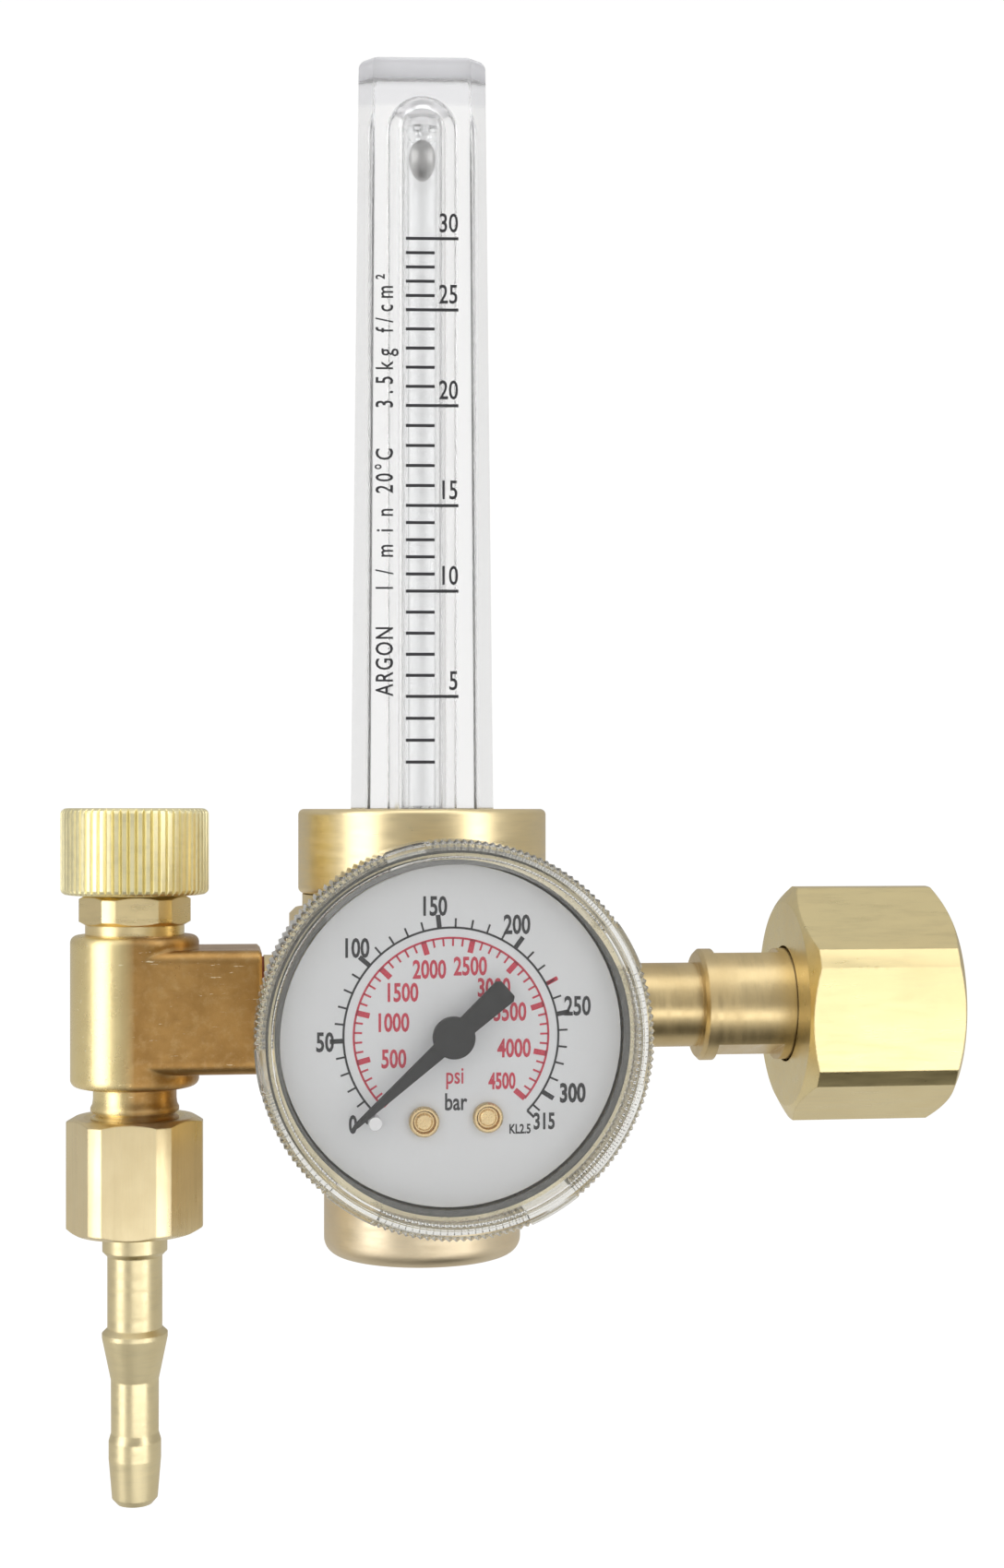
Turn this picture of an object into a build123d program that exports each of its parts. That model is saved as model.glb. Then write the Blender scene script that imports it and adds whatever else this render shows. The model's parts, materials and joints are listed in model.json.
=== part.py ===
"""Gas regulator with flow tube, needle valve and cylinder-pressure gauge.

Millimetres, +Z up. The origin is the middle of the inlet gasket's sealing face, on the inlet's axis.
+X points out of the inlet nut, and the gauge faces -Y. All ports share the height z = 0.
"""
from build123d import *

import os
from math import atan2, cos, degrees, pi, radians, sin, sqrt, tan

# Where the main axes stand
BODY_X = -62.5          # vertical axis of the body and of the flow tube
VALVE_X = -101.9        # vertical axis of the needle valve and of the hose tail
FIT = 0.05              # radial clearance of a running fit
HEX_FACE_LAND = 0.96    # of a hexagon's inner radius, where its end chamfer starts

# Regulator body, heights from the port axis
BODY_R = 18.4
BODY_BOTTOM = -20.0
BODY_SHOULDER = 14.0
NECK_R = 16.6
NECK_TOP = 15.9
BODY_THREAD_R = 15.0
BODY_TOP = 20.5
CHAMBER_R = 6.0
CHAMBER_TOP = 9.0
CHAMBER_BOTTOM = -10.0
PASSAGE_R = 1.25
PASSAGE_OFFSET = 8.5    # of the two drilled risers from the body's axis
PASSAGE_Z = 13.0        # height of the cross drilling that feeds the flow tube
PLUG_LENGTH = 3.5
RETURN_GROOVE_R = (5.0, 9.8)
RETURN_GROOVE_DEPTH = 1.5
PORT_THREAD_R = 4.86    # G1/8
LEFT_BOSS_R = 7.5
LEFT_BOSS_END = 21.9
RIGHT_BOSS_R = 9.0
RIGHT_BOSS_END = 24.0
FRONT_BOSS_R = 8.0
FRONT_BOSS_END = 21.2

# Bottom cap, main spring and piston
CAP_R = 13.6
CAP_BOTTOM = -33.8
CAP_FLOOR = 2.5
CAP_ROUND = 2.2
CAP_THREAD_R = 12.0
CAP_TOP = -12.2
PISTON_BORE_R = 10.0
PISTON_Z = (-17.0, -13.0)
PISTON_STOP_Z = -10.2
O_RING_WIRE = 0.9
NOZZLE_TOP = -5.0
SEAT_TOP = -4.2
VALVE_LIFT = 0.6        # how far the poppet stands off its seat with no gas on

# Inlet, distances along X from the gasket's sealing face
NUT_FLATS = 30.0
NUT_TURNED_R = 16.6
NUT_HALF = 11.0
NUT_WEB = 5.0
NUT_TILT = 3.8          # the top corner leans this far towards the front, degrees
THREAD_MINOR_R = 9.74   # W21.8 x 1/14 in
STEM_R = 7.85
STEM_NECK_R = 5.9
STEM_STEP_X = -23.8
STEM_FLATS = 13.0
STEM_FLATS_X = (-21.7, -12.4)
STEM_FLATS_TILT = 15.0  # the lower flat looks this far towards the front, degrees
STEM_HEAD_R = 9.3
STEM_BORE_R = 3.0
GASKET = 1.5
FILTER_R = 4.4

# Flow tube
TUBE_FOOT_R = 14.0
TUBE_FOOT_Z = (20.9, 24.3)
TUBE_TOP = 129.6
TUBE_WIDTH = (19.4, 17.2)
TUBE_TURN = 5.4         # the front face looks this far towards the left, degrees
TUBE_CORNER = (2.4, 2.0)
TUBE_TOP_ROUND = 1.6
TUBE_BORE_R = 4.9
TUBE_BORE_TOP = 125.6
METER_OUTER_R = 3.9
METER_BORE_R = (2.95, 3.3)
METER_TOP = 121.2
STOP_THICK = 1.0
BALL_R = 2.8
BALL_Z = 117.2
LOWER_STOP_TOP = 28.0
COLLAR_R = 17.15
COLLAR_Z = (16.0, 27.6)
COLLAR_HOLE_R = 12.6
COLLAR_LIP = 3.1

# Needle valve
BARREL_R = 8.7
BARREL_Z = (-10.2, 10.4)
BARREL_ROUND = 1.0
ARM_HALF_DEPTH = 8.6
ARM_Z = (-8.1, 8.6)
ARM_ROUND = 1.6
ARM_END = 22.3          # from the body's axis
ARM_THREAD_END = 14.0
OUTLET_NECK_R = 5.65
OUTLET_NECK_Z = -11.9   # where the neck begins to flare out to the thread
OUTLET_FLARE_Z = -13.1
OUTLET_THREAD_R = 6.0   # M12 x 1.25
OUTLET_ROOT_R = 5.3
OUTLET_PITCH = 1.25
OUTLET_END = -24.0
FLOW_BORE_R = 2.5
ORIFICE_R = 1.2
BONNET_FLATS = 14.0
BONNET_TURNED_R = 7.55
BONNET_TILT = 4.4       # the front flat faces this far towards the right, degrees
BONNET_HEX_Z = (11.8, 15.8)
BONNET_NECK_R = 6.7
BONNET_THREAD_R = 5.5
BONNET_BOTTOM = 4.0
SPINDLE_R = 2.5
SEAL_Z = 8.0
KNOB_R = 10.0
KNOB_Z = (15.9, 27.7)
KNOB_ROUND = 0.5

# Hose nut and hose tail
HOSE_NUT_FLATS = 17.0
HOSE_NUT_TURNED_R = 9.25
HOSE_NUT_Z = (-30.1, -14.4)
HOSE_NUT_WEB = 4.0
HOSE_NUT_TILT = 3.5     # the front flat faces this far towards the left, degrees
TAIL_COLLAR_R = 4.4
TAIL_R = 3.72
TAIL_END = -67.2
TAIL_BORE_R = 2.0

# Gauge, distances in front of the body's axis
GAUGE_R = 24.0
GAUGE_FRONT = 46.0
WINDOW_THICK = 1.8
SKIRT_BACK = 36.0
SKIRT_INNER_R = 22.95
CASE_BACK = 24.0
CASE_R = 21.9
CASE_WALL = 0.7
CASE_FRONT = 39.0
CASE_FLANGE_R = 22.8
DIAL_R = 20.9
DIAL_Z = (37.4, 38.0)
POINTER_Z = (40.2, 40.9)
POINTER_TIP = 16.7
POINTER_TAIL = 8.8
POINTER_ANGLE = 228.3   # clockwise from the top, at zero pressure
POINTER_HUB_R = 2.55
DIAL_SCREWS = ((-3.4, -10.4), (4.4, -10.0))
STOP_PIN = (13.9, 223.1)  # distance from the gauge's axis and clockwise angle
STOP_PIN_R = 0.8
CASE_SCREW_X = 10.5
SOCKET_FLATS = 14.0
SOCKET_END = 12.5
MOVEMENT_Z = (28.6, 29.4, 33.4, 34.2)
GEAR_MODULE = 0.3
PINION_TEETH = 10
SECTOR_TEETH = 80       # of the full wheel that the sector is cut from
SECTOR_DIRECTION = 150.0  # of its pivot from the gauge's axis, clockwise from the top
TAIL_DIRECTION = -10.0  # of the sector's tail, anticlockwise from +X
TAIL_LENGTH = 3.8
LINK_LENGTH = 5.0
LINK_DIRECTION = 42.0
BOURDON_R = 17.5
BOURDON_ENDS = (-10.0, 250.0)  # tip and root, anticlockwise from +X


def disc(radius, low, high):
    """Upright cylinder between two heights."""
    return Pos(0, 0, low) * Cylinder(radius, high - low, align=(Align.CENTER, Align.CENTER, Align.MIN))


def ring(outer, inner, low, high):
    return disc(outer, low, high) - disc(inner, low - 1, high + 1)


def block(x_range, y_range, z_range):
    size = [high - low for low, high in (x_range, y_range, z_range)]
    corner = Pos(x_range[0], y_range[0], z_range[0])
    return corner * Box(*size, align=(Align.MIN, Align.MIN, Align.MIN))


def turned(*outline):
    """Solid of revolution about Z from (radius, height) points."""
    return revolve(Plane.XZ * make_face(Polyline(*outline, close=True)), Axis.Z)


def hexagon(flats, turned_radius, low, high, rotation=0.0):
    """Hexagon bar with its corners turned down, and both ends chamfered at 30 degrees."""
    bar = extrude(RegularPolygon(flats / 2, 6, major_radius=False, rotation=rotation), high - low)
    land = flats / 2 * HEX_FACE_LAND
    drop = (turned_radius - land) * tan(radians(30))
    blank = turned(
        (0, low), (land, low), (turned_radius, low + drop),
        (turned_radius, high - drop), (land, high), (0, high),
    )
    return Pos(0, 0, low) * bar & blank


def coil(mean_radius, wire_radius, low, high, turns):
    """Round-wire compression spring whose wire ends touch the two heights."""
    length = high - low - 2 * wire_radius
    path = Helix(length / turns, length, mean_radius)
    section = Plane(origin=path @ 0, z_dir=path % 0) * Circle(wire_radius)
    return Pos(0, 0, low + wire_radius) * sweep(section, path, is_frenet=True)


def o_ring(inner_radius, wire_diameter, height):
    return Pos(0, 0, height) * Torus(inner_radius + wire_diameter / 2, wire_diameter / 2)


def along_x(solid):
    """Turn a solid built up the Z axis so that its height runs along X."""
    return Rot(0, 90, 0) * solid


def at_body(solid):
    return Pos(BODY_X, 0, 0) * solid


def at_valve(solid):
    return Pos(VALVE_X, 0, 0) * solid


def at_gauge(solid):
    """Turn a solid built up the Z axis so that its height runs forwards from the body's axis."""
    return Pos(BODY_X, 0, 0) * (Rot(90, 0, 0) * solid)


def clockwise(distance, angle):
    """Point at a clockwise angle from the top, on the gauge's face."""
    return distance * sin(radians(angle)), distance * cos(radians(angle))


# ---------------------------------------------------------------- regulator body

def regulator_body():
    shell = turned(
        (0, BODY_BOTTOM), (BODY_R - 0.8, BODY_BOTTOM), (BODY_R, BODY_BOTTOM + 0.8),
        (BODY_R, BODY_SHOULDER - 0.8), (BODY_R - 0.8, BODY_SHOULDER), (NECK_R, BODY_SHOULDER),
        (NECK_R, NECK_TOP), (BODY_THREAD_R, NECK_TOP), (BODY_THREAD_R, BODY_TOP), (0, BODY_TOP),
    )
    shell += Rot(0, -90, 0) * disc(LEFT_BOSS_R, CHAMBER_R + 2, LEFT_BOSS_END)
    shell += Rot(0, 90, 0) * disc(RIGHT_BOSS_R, CHAMBER_R + 2, RIGHT_BOSS_END)
    shell += Rot(90, 0, 0) * disc(FRONT_BOSS_R, CHAMBER_R + 2, FRONT_BOSS_END)
    shell -= disc(CAP_THREAD_R, BODY_BOTTOM, CAP_TOP)
    shell -= disc(PISTON_BORE_R, CAP_TOP, CHAMBER_BOTTOM)
    shell -= disc(CHAMBER_R, CHAMBER_BOTTOM, CHAMBER_TOP)
    shell -= body_ports()
    shell -= body_passages()
    return at_body(shell)


def body_ports():
    """Inlet, gauge and outlet ports, threads at their outer ends."""
    inlet = Rot(0, 90, 0) * (disc(STEM_BORE_R, 0, RIGHT_BOSS_END) + disc(STEM_NECK_R, 12, RIGHT_BOSS_END))
    gauge = disc(1.5, 0, FRONT_BOSS_END) + disc(PORT_THREAD_R, SOCKET_END, FRONT_BOSS_END)
    outlet = disc(FLOW_BORE_R, CHAMBER_R + 1.5, LEFT_BOSS_END)
    outlet += disc(PORT_THREAD_R, ARM_THREAD_END, LEFT_BOSS_END)
    return inlet + Rot(90, 0, 0) * gauge + Rot(0, -90, 0) * outlet


def body_passages():
    """Drilled way from the low-pressure chamber up to the flow tube, and its return to the outlet."""
    riser = Pos(0, PASSAGE_OFFSET, 0) * disc(PASSAGE_R, CHAMBER_BOTTOM - 0.5, PASSAGE_Z)
    cross = Rot(-90, 0, 0) * disc(PASSAGE_R, 0, BODY_R + 1)
    feed = disc(PASSAGE_R, PASSAGE_Z, BODY_TOP)
    groove = ring(RETURN_GROOVE_R[1], RETURN_GROOVE_R[0], BODY_TOP - RETURN_GROOVE_DEPTH, BODY_TOP)
    down = Pos(-PASSAGE_OFFSET, 0, 0) * disc(PASSAGE_R, 0, BODY_TOP)
    return riser + Pos(0, 0, PASSAGE_Z) * cross + feed + groove + down


def passage_plug():
    """Press-in plug that closes the outer end of the cross drilling."""
    plug = disc(PASSAGE_R, BODY_R - 0.4 - PLUG_LENGTH, BODY_R - 0.4)
    return at_body(Pos(0, 0, PASSAGE_Z) * (Rot(-90, 0, 0) * plug))


def bottom_cap():
    cap = turned(
        (0, CAP_BOTTOM), (CAP_R, CAP_BOTTOM), (CAP_R, BODY_BOTTOM),
        (CAP_THREAD_R, BODY_BOTTOM), (CAP_THREAD_R, CAP_TOP), (0, CAP_TOP),
    )
    rim = cap.edges().filter_by(GeomType.CIRCLE).filter_by(lambda e: e.radius > CAP_R - 0.1)
    cap = fillet(rim.sort_by(Axis.Z)[0], CAP_ROUND)
    cap -= disc(PISTON_BORE_R, CAP_BOTTOM + CAP_FLOOR, CAP_TOP)
    vent = disc(1.0, CAP_BOTTOM - 1, CAP_BOTTOM + CAP_FLOOR + 1)
    return at_body(cap - vent)


def piston():
    low, high = PISTON_Z
    outer = PISTON_BORE_R - FIT
    middle = (low + high) / 2
    body = disc(outer, low, high) + disc(3.0, high, PISTON_STOP_Z)
    body -= ring(outer + 1, outer - 2 * O_RING_WIRE, middle - O_RING_WIRE, middle + O_RING_WIRE)
    body -= ring(7.6, 5.0, low, low + 1.0)
    body -= disc(0.7, high - 1, PISTON_STOP_Z)
    body -= block((-4, 4), (-0.6, 0.6), (PISTON_STOP_Z - 0.8, PISTON_STOP_Z + 1))
    return at_body(body)


def piston_o_ring():
    middle = sum(PISTON_Z) / 2
    return at_body(o_ring(PISTON_BORE_R - 2 * O_RING_WIRE, 2 * O_RING_WIRE - 0.04, middle))


def main_spring():
    return at_body(coil(6.3, 1.0, CAP_BOTTOM + CAP_FLOOR, PISTON_Z[0] + 1.0, 5))


def push_pin():
    return at_body(disc(0.7, PISTON_Z[1] - 1, SEAT_TOP + VALVE_LIFT))


def seat_nozzle():
    body = disc(CHAMBER_R, CHAMBER_BOTTOM, NOZZLE_TOP) + disc(2.2, NOZZLE_TOP, SEAT_TOP)
    body -= disc(1.5, CHAMBER_BOTTOM - 1, SEAT_TOP + 1)
    body -= block((-5, 5), (-0.5, 0.5), (CHAMBER_BOTTOM - 1, CHAMBER_BOTTOM + 0.8))
    return at_body(body)


def poppet():
    foot = SEAT_TOP + VALVE_LIFT
    body = disc(3.6, foot, foot + 2.2) + disc(1.8, foot + 2.2, foot + 6)
    return at_body(body - disc(2.8, foot, foot + 0.8))


def poppet_seat():
    foot = SEAT_TOP + VALVE_LIFT
    return at_body(disc(2.8, foot, foot + 0.8))


def poppet_spring():
    return at_body(coil(2.9, 0.4, SEAT_TOP + VALVE_LIFT + 2.2, CHAMBER_TOP, 6))


# ---------------------------------------------------------------- inlet

def inlet_stem():
    inner_end = BODY_X + 12
    head_back = -NUT_HALF + NUT_WEB + 0.3
    stem = turned(
        (0, inner_end), (STEM_NECK_R, inner_end), (STEM_NECK_R, STEM_STEP_X),
        (STEM_R - 0.5, STEM_STEP_X), (STEM_R, STEM_STEP_X + 0.5), (STEM_R, head_back),
        (STEM_HEAD_R, head_back), (STEM_HEAD_R, -GASKET), (0, -GASKET),
    )
    stem -= disc(STEM_BORE_R, inner_end - 1, 0)
    stem -= disc(FILTER_R, -GASKET - 4, 0)
    low, high = STEM_FLATS_X
    for side in (-1, 1):
        across = sorted((side * STEM_FLATS / 2, side * 12))
        stem -= Rot(0, 0, -STEM_FLATS_TILT) * block(across, (-12, 12), (low, high))
    return along_x(stem)


def inlet_filter():
    """Sintered disc in the stem's mouth, set back from the seal."""
    return along_x(disc(FILTER_R, -GASKET - 4, -GASKET - 1))


def inlet_gasket():
    return along_x(ring(STEM_HEAD_R - 0.2, FILTER_R + 0.6, -GASKET, 0))


def inlet_nut():
    nut = hexagon(NUT_FLATS, NUT_TURNED_R, -NUT_HALF, NUT_HALF, rotation=NUT_TILT)
    nut -= disc(STEM_R + 0.35, -NUT_HALF - 1, NUT_HALF)
    nut -= disc(THREAD_MINOR_R + 1.3, -NUT_HALF + NUT_WEB, 0)
    nut -= disc(THREAD_MINOR_R, 0, NUT_HALF)
    mouth = NUT_HALF - 1.0
    nut -= turned((0, mouth), (THREAD_MINOR_R, mouth), (THREAD_MINOR_R + 1.3, NUT_HALF), (0, NUT_HALF))
    return along_x(nut)


# ---------------------------------------------------------------- flow tube

def tube_section(width, corner, height):
    return Pos(0, 0, height) * chamfer(Rectangle(width, width).vertices(), corner)


def flow_tube_block():
    low, high = TUBE_FOOT_Z
    lower = tube_section(TUBE_WIDTH[0], TUBE_CORNER[0], high)
    upper = tube_section(TUBE_WIDTH[1], TUBE_CORNER[1], TUBE_TOP)
    column = loft([lower, upper])
    column = fillet(column.edges().group_by(Axis.Z)[-1], TUBE_TOP_ROUND)
    column = Rot(0, 0, -TUBE_TURN) * column
    column += disc(TUBE_FOOT_R, low, high)
    column -= disc(TUBE_BORE_R, low, TUBE_BORE_TOP - TUBE_BORE_R)
    column -= Pos(0, 0, TUBE_BORE_TOP - TUBE_BORE_R) * Sphere(TUBE_BORE_R)
    column -= ring(12.6, 10.6, low, low + 1.5)
    return at_body(column)


def metering_tube():
    """Inner tube with the tapered bore that the ball floats in."""
    low = TUBE_FOOT_Z[0]
    tube = disc(METER_OUTER_R, low, METER_TOP)
    bore = turned(
        (0, LOWER_STOP_TOP), (METER_BORE_R[0], LOWER_STOP_TOP), (METER_BORE_R[1], METER_TOP), (0, METER_TOP),
    )
    return at_body(tube - bore - disc(METER_BORE_R[0], low, LOWER_STOP_TOP))


def ball_stop(low, high, radius):
    """Perforated disc that holds the ball in."""
    stop = disc(radius, low, high)
    for turn in range(3):
        stop -= Rot(0, 0, 120 * turn) * (Pos(1.6, 0, 0) * disc(0.7, low - 1, high + 1))
    return at_body(stop)


def upper_ball_stop():
    return ball_stop(METER_TOP - STOP_THICK, METER_TOP, METER_BORE_R[1] - 0.05)


def lower_ball_stop():
    return ball_stop(TUBE_FOOT_Z[0], LOWER_STOP_TOP, METER_BORE_R[0])


def float_ball():
    return at_body(Pos(0, 0, BALL_Z) * Sphere(BALL_R))


def block_seal():
    """Outer O-ring between the tube's foot and the body."""
    return at_body(ring(12.5, 10.7, BODY_TOP, TUBE_FOOT_Z[0] + 1.5))


def feed_seal():
    """Small washer under the inner tube, so that gas rises only through its bore."""
    return at_body(ring(METER_OUTER_R, PASSAGE_R, BODY_TOP, TUBE_FOOT_Z[0]))


def tube_collar():
    low, high = COLLAR_Z
    collar = disc(COLLAR_R, low, high)
    rims = collar.edges().filter_by(GeomType.CIRCLE)
    collar = fillet(rims, 0.8)
    collar -= disc(BODY_THREAD_R, low - 1, high - COLLAR_LIP)
    return at_body(collar - disc(COLLAR_HOLE_R, low, high + 1))


# ---------------------------------------------------------------- needle valve

def outlet_valve_body():
    low, high = BARREL_Z
    barrel = disc(BARREL_R, low, high)
    barrel = fillet(barrel.edges().filter_by(GeomType.CIRCLE), BARREL_ROUND)
    reach = BODY_X - ARM_END - VALVE_X
    arm = block((0, reach), (-ARM_HALF_DEPTH, ARM_HALF_DEPTH), ARM_Z)
    arm = fillet(arm.edges().filter_by(Axis.X), ARM_ROUND)
    arm = chamfer(arm.faces().sort_by(Axis.X)[-1].edges(), 0.4)
    forging = barrel + arm
    forging += Pos(reach, 0, 0) * (Rot(0, 90, 0) * disc(PORT_THREAD_R, -2, ARM_END - ARM_THREAD_END))
    forging += outlet_thread(low + 1)
    forging -= valve_ways(reach)
    return at_valve(forging)


def outlet_thread(top):
    """Outlet shank whose thread is a row of ridges at the thread's pitch."""
    outline = [(0, OUTLET_END), (OUTLET_ROOT_R - 0.05, OUTLET_END)]
    ridges = int((OUTLET_FLARE_Z - OUTLET_END) / OUTLET_PITCH)
    for ridge in range(ridges):
        foot = OUTLET_END + OUTLET_PITCH * ridge
        outline.append((OUTLET_ROOT_R, foot + 0.08 * OUTLET_PITCH))
        outline.append((OUTLET_THREAD_R, foot + 0.44 * OUTLET_PITCH))
        outline.append((OUTLET_THREAD_R, foot + 0.62 * OUTLET_PITCH))
        outline.append((OUTLET_ROOT_R, foot + 0.97 * OUTLET_PITCH))
    outline += [(OUTLET_THREAD_R, OUTLET_FLARE_Z - 0.4), (OUTLET_THREAD_R, OUTLET_FLARE_Z)]
    outline += [(OUTLET_NECK_R + 0.1, OUTLET_FLARE_Z + 0.5), (OUTLET_NECK_R, OUTLET_NECK_Z)]
    outline += [(OUTLET_NECK_R, top), (0, top)]
    return turned(*outline)


def valve_ways(reach):
    """Spindle chamber with its conical seat, the orifice below it, and the feed along the arm."""
    chamber = disc(BONNET_THREAD_R, BONNET_BOTTOM, BARREL_Z[1]) + disc(3.6, -1.0, BONNET_BOTTOM)
    seat = turned((0, -4.0), (ORIFICE_R, -4.0), (3.6, -1.0), (0, -1.0))
    outlet = disc(ORIFICE_R, -8, -4) + disc(FLOW_BORE_R, OUTLET_END, -8)
    feed = Pos(0, 0, 1.5) * (Rot(0, 90, 0) * disc(FLOW_BORE_R, 2.0, reach - 2))
    feed += Rot(0, 90, 0) * disc(FLOW_BORE_R, reach - 4, reach + ARM_END - ARM_THREAD_END)
    return chamber + seat + outlet + feed


def arm_gasket():
    """Fibre washer between the body's left boss and the valve's arm."""
    return at_body(Rot(0, -90, 0) * ring(LEFT_BOSS_R - 0.2, PORT_THREAD_R, LEFT_BOSS_END, ARM_END))


def bonnet():
    low, high = BONNET_HEX_Z
    body = hexagon(BONNET_FLATS, BONNET_TURNED_R, low, high, rotation=BONNET_TILT)
    body += disc(BONNET_NECK_R, BARREL_Z[1], low + 1)
    body += disc(BONNET_THREAD_R, BONNET_BOTTOM, BARREL_Z[1])
    return at_valve(body - disc(SPINDLE_R + FIT, BONNET_BOTTOM - 1, high + 1))


def valve_spindle():
    """Needle, stem with the seal groove, and the spigot that carries the knob."""
    stem = turned(
        (0, -5.0), (0.4, -5.0), (ORIFICE_R + 0.3, -3.2), (ORIFICE_R + 0.3, 1.5), (SPINDLE_R, 2.4),
        (SPINDLE_R, 17.5), (2.0, 17.5), (2.0, 24.0), (0, 24.0),
    )
    stem -= ring(SPINDLE_R + 1, SPINDLE_R - 0.9, SEAL_Z - 0.55, SEAL_Z + 0.55)
    return at_valve(stem - disc(0.8, 18.5, 25))


def spindle_o_ring():
    return at_valve(o_ring(SPINDLE_R - 0.9, 0.92, SEAL_Z))


def control_knob():
    low, high = KNOB_Z
    knob = disc(KNOB_R, low, high)
    knob = fillet(knob.edges().filter_by(GeomType.CIRCLE), KNOB_ROUND)
    knob -= disc(SPINDLE_R, low - 1, 17.5)
    knob -= disc(2.0, 17, 24)
    knob -= disc(0.8, 23, high)
    knob -= disc(4.2, high - 2.2, high + 1)
    return at_valve(knob)


def knob_screw():
    """Slotted screw that holds the knob on the spindle."""
    seat = KNOB_Z[1] - 2.2
    screw = disc(2.9, seat, seat + 1.7) + disc(0.8, 19.0, seat)
    return at_valve(screw - block((-4, 4), (-0.4, 0.4), (seat + 0.9, seat + 3)))


# ---------------------------------------------------------------- hose connection

def hose_nut():
    low, high = HOSE_NUT_Z
    nut = hexagon(HOSE_NUT_FLATS, HOSE_NUT_TURNED_R, low, high, rotation=-HOSE_NUT_TILT)
    nut -= disc(TAIL_COLLAR_R + FIT, low - 1, high)
    nut -= disc(OUTLET_THREAD_R + FIT, low + HOSE_NUT_WEB, high + 1)
    nut -= turned((0, high - 0.8), (OUTLET_THREAD_R, high - 0.8), (OUTLET_THREAD_R + 0.9, high), (0, high))
    return at_valve(nut)


def hose_tail():
    """Barbed tail whose inner flange the nut pulls up against the outlet."""
    flange = HOSE_NUT_Z[0] + HOSE_NUT_WEB + FIT
    tail = turned(
        (0, OUTLET_END - 0.1), (OUTLET_THREAD_R - 0.5, OUTLET_END - 0.1), (OUTLET_THREAD_R - 0.5, flange),
        (TAIL_COLLAR_R, flange), (TAIL_COLLAR_R, -32.7), (TAIL_R, -33.4), (TAIL_R, -43.2),
        (4.45, -43.9), (4.45, -44.5), (3.25, -50.3), (3.225, -57.5), (3.55, -58.6), (3.55, -61.0),
        (3.1, TAIL_END + 0.8), (2.4, TAIL_END), (0, TAIL_END),
    )
    return at_valve(tail - disc(TAIL_BORE_R, TAIL_END - 1, 0))


# ---------------------------------------------------------------- gauge

def gauge_window():
    """Clear cap with a skirt that snaps over the case."""
    cap = disc(GAUGE_R, SKIRT_BACK, GAUGE_FRONT)
    cap = fillet(cap.edges().filter_by(GeomType.CIRCLE).sort_by(Axis.Z)[-1], 1.4)
    cap -= disc(SKIRT_INNER_R, SKIRT_BACK - 1, GAUGE_FRONT - WINDOW_THICK)
    return at_gauge(cap)


def gauge_case():
    case = disc(CASE_R, CASE_BACK, CASE_FRONT)
    case = fillet(case.edges().filter_by(GeomType.CIRCLE).sort_by(Axis.Z)[0], 2.0)
    case += ring(CASE_FLANGE_R, CASE_R - 0.2, CASE_FRONT - CASE_WALL, CASE_FRONT)
    case -= disc(CASE_R - CASE_WALL, CASE_BACK + CASE_WALL + 1.5, CASE_FRONT + 1)
    case -= disc(CASE_R - CASE_WALL - 1.5, CASE_BACK + CASE_WALL, CASE_BACK + 4)
    case -= disc(5.0, CASE_BACK - 1, CASE_BACK + 2)
    for side in (-1, 1):
        case -= Pos(side * CASE_SCREW_X, 0, 0) * disc(1.25, CASE_BACK - 1, CASE_BACK + 2)
    return at_gauge(case)


def gauge_dial():
    low, high = DIAL_Z
    dial = disc(DIAL_R, low, high) - disc(1.4, low - 1, high + 1)
    for place in DIAL_SCREWS:
        dial -= Pos(*place, 0) * disc(0.9, low - 1, high + 1)
    return at_gauge(dial - Pos(*clockwise(*STOP_PIN), 0) * disc(STOP_PIN_R, low - 1, high + 1))


def dial_screws():
    """Two dome-headed screws that hold the dial on its pillars."""
    low, high = DIAL_Z
    screw = disc(0.9, low - 1.4, high) + disc(1.85, high, high + 0.5)
    screw += Pos(0, 0, high + 0.5) * (Sphere(1.85) & disc(3, 0, 0.7))
    screw -= block((-3, 3), (-0.25, 0.25), (high + 0.75, high + 3))
    placed = [Pos(*place, 0) * (Rot(0, 0, 35) * screw) for place in DIAL_SCREWS]
    return at_gauge(Compound(placed))


def dial_bracket():
    """Bar on the movement's front plate, with a post under each dial screw."""
    base = MOVEMENT_Z[3]
    (x1, y1), (x2, y2) = DIAL_SCREWS
    length = sqrt((x2 - x1) ** 2 + (y2 - y1) ** 2)
    middle = Pos((x1 + x2) / 2, (y1 + y2) / 2, base)
    bar = extrude(SlotCenterToCenter(length, 3.2), 0.8)
    bar = middle * (Rot(0, 0, degrees(atan2(y2 - y1, x2 - x1))) * bar)
    for place in DIAL_SCREWS:
        bar += Pos(*place, 0) * disc(1.6, base, DIAL_Z[0])
        bar -= Pos(*place, 0) * disc(0.9, DIAL_Z[0] - 1.4, DIAL_Z[0] + 1)
    return at_gauge(bar)


def pointer_stop_pin():
    """Upright pin that the pointer's side rests on at zero."""
    pin = disc(STOP_PIN_R, DIAL_Z[0] - 1, POINTER_Z[1] + 0.4)
    return at_gauge(Pos(*clockwise(*STOP_PIN), 0) * pin)


def gauge_pointer():
    """Flat pointer, built pointing up and then swung round to zero on the scale."""
    low, high = POINTER_Z
    outline = Polyline(
        (-1.1, 0), (-0.3, POINTER_TIP - 1), (0, POINTER_TIP), (0.3, POINTER_TIP - 1), (1.1, 0),
        (1.6, -POINTER_TAIL + 0.5), (1.2, -POINTER_TAIL), (-1.2, -POINTER_TAIL), (-1.6, -POINTER_TAIL + 0.5),
        close=True,
    )
    blade = Pos(0, 0, low) * extrude(make_face(outline), high - low)
    blade += disc(POINTER_HUB_R, low, high + 0.5)
    blade -= disc(0.6, low - 1, high + 0.2)
    return at_gauge(Rot(0, 0, -POINTER_ANGLE) * blade)


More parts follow.
